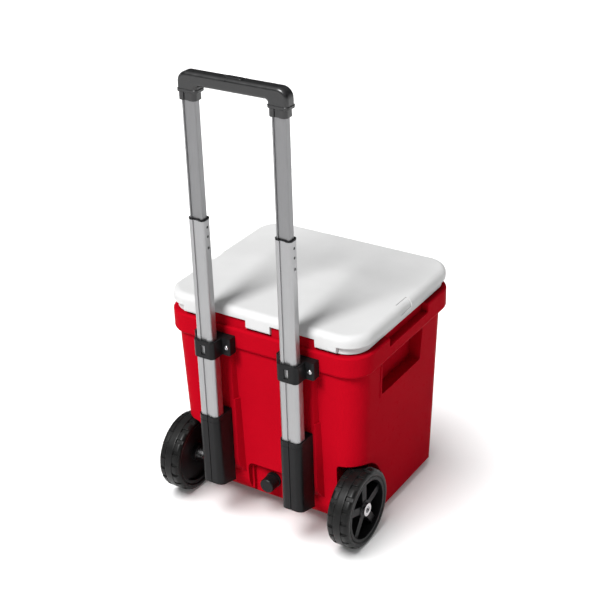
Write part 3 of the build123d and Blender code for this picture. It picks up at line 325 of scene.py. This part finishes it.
def make_materials():
    """Each finish: name, colour, worn or dusty colour, roughness."""
    made = [
        moulded("red_plastic", (0.335, 0.0018, 0.0082), (0.35, 0.005, 0.011), 0.30, specular=0.002),
        moulded(
            "white_plastic",
            (0.485, 0.485, 0.485), (0.44, 0.44, 0.43), 0.42, grain=1900.0, specular=0.12,
        ),
        moulded("liner_plastic", (0.72, 0.73, 0.73), (0.62, 0.63, 0.63), 0.30, grain=900.0),
        moulded("black_plastic", (0.007, 0.007, 0.0075), (0.02, 0.02, 0.021), 0.38, specular=0.13),
        moulded(
            "grip_plastic",
            (0.006, 0.006, 0.0065), (0.02, 0.02, 0.021), 0.32, grain=3200.0, specular=0.6,
        ),
        drawn_metal("anodised_aluminium", (0.36, 0.36, 0.365), 0.40),
        drawn_metal("dark_aluminium", (0.24, 0.24, 0.245), 0.42),
        drawn_metal("zinc_steel", (0.66, 0.66, 0.67), 0.24, stretch=EVEN, scale=STEEL_SCALE),
        drawn_metal("spring_steel", (0.45, 0.45, 0.46), 0.30, stretch=EVEN, scale=STEEL_SCALE),
        rubber("tyre_rubber", (0.004, 0.004, 0.004), (0.014, 0.014, 0.013), 0.36, specular=0.18),
        rubber("seal_rubber", (0.03, 0.03, 0.03), (0.06, 0.06, 0.06), 0.6),
        rubber("foot_rubber", (0.025, 0.025, 0.025), (0.07, 0.068, 0.065), 0.6),
        foam("foam", (0.85, 0.78, 0.55)),
    ]
    return {material.name.split(".")[0]: material for material in made}


def paint_nodes(materials):
    for name, node in frame["nodes"].items():
        node.data.materials.clear()
        darker = name.startswith("inner_tube")
        node.data.materials.append(materials["dark_aluminium" if darker else SLOT_OF[name]])


# ---- detailed pieces ---------------------------------------------------------------
def add_piece(name, points, faces, node, body):
    """A smooth mesh that takes its finish from the CAD node's slot and rides on that body."""
    mesh = bpy.data.meshes.new(name)
    mesh.from_pydata(points, [], faces)
    mesh.shade_smooth()
    piece = bpy.data.objects.new(name, mesh)
    bpy.context.scene.collection.objects.link(piece)
    mesh.materials.append(MATERIALS[SLOT_OF[node]])
    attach(piece, body)
    return piece


def ring_faces(rows, columns):
    """Quads over rings of points that close into a ring themselves."""
    faces = []
    for i in range(rows):
        for j in range(columns):
            a, b = i * columns, (i + 1) % rows * columns
            k = (j + 1) % columns
            faces.append((a + j, a + k, b + k, b + j))
    return faces


def smooth_step(low, high, value):
    t = min(max((value - low) / (high - low), 0.0), 1.0)
    return t * t * (3 - 2 * t)


def tread_drop(turn, across, half):
    """How deep the tread lies below the blocks, at a turn in pitches and a place across the tyre."""
    stagger = 0.5 if across > 0 else 0.0
    phase = (turn + stagger) % 1.0
    off = min(phase, 1.0 - phase)
    gap = 1 - smooth_step(TREAD_GAP - TREAD_WALL, TREAD_GAP + TREAD_WALL, off)
    edge = half - TREAD_REACH
    reach = smooth_step(edge - TREAD_BEVEL, edge, abs(across))
    groove = reach * (1 - smooth_step(edge + GROOVE_WIDTH - TREAD_BEVEL, edge + GROOVE_WIDTH, abs(across)))
    return max(TREAD_DEPTH * gap * reach, GROOVE_DEPTH * groove)


def tyre_profile(half, outer, inner):
    """(across, radius) round the tyre's section, dense over the tread and the shoulders."""
    flat = half - TYRE_EDGE
    edge = half - TREAD_REACH
    stops = [edge + TREAD_BEVEL * k / 2 for k in range(-2, 3)]
    stops += [edge + GROOVE_WIDTH + TREAD_BEVEL * k / 2 for k in range(-1, 2)]
    stops += [flat * k / TREAD_STOPS for k in range(1, TREAD_STOPS + 1)]
    stops = sorted({round(stop, 5) for stop in stops})
    tread = [(-stop, outer) for stop in reversed(stops)] + [(0, outer)] + [(stop, outer) for stop in stops]
    right = []
    for i in range(1, SHOULDER_STOPS + 1):
        a = math.pi / 2 * i / SHOULDER_STOPS
        right.append((flat + TYRE_EDGE * math.sin(a), outer - TYRE_EDGE * (1 - math.cos(a))))
    right += [(half - inwards, inner + up) for inwards, up in BEAD_STEPS]
    left = [(-across, radius) for across, radius in reversed(right)]
    return tread + right + left


def make_tyre(side):
    node, body = f"tyre_{side}", f"wheel_{side}"
    low, high = (Vector(corner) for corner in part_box(node))
    centre = (low + high) / 2
    half = (high.x - low.x) / 2
    outer = (high.z - low.z) / 2
    hub_low, hub_high = (Vector(corner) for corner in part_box(f"wheel_hub_{side}"))
    inner = (hub_high.z - hub_low.z) / 2
    profile = tyre_profile(half, outer, inner)
    steps = set()
    for shift in (0, 0.5):
        for step in TREAD_STEPS:
            steps |= {round((shift + step) % 1.0, 4), round((shift - step) % 1.0, 4)}
    steps = sorted(steps)
    points = []
    for block in range(TREAD_BLOCKS):
        for step in steps:
            turn = block + step
            angle = 2 * math.pi * turn / TREAD_BLOCKS
            for across, radius in profile:
                r = min(radius, outer - tread_drop(turn, across, half))
                points.append((
                    centre.x + across,
                    centre.y + r * math.sin(angle),
                    centre.z + r * math.cos(angle),
                ))
    faces = ring_faces(TREAD_BLOCKS * len(steps), len(profile))
    piece = add_piece(f"tyre_tread_{side}", points, faces, node, body)
    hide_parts(node)


make_camera()
bpy.context.scene.view_settings.view_transform = "Standard"
floor = make_floor()
make_sky()
add_sun("key", floor, False, **KEY)
add_sun("floor_light", floor, True, **FLOOR_LIGHT)
MATERIALS = make_materials()
paint_nodes(MATERIALS)
for side in ("left", "right"):
    make_tyre(side)
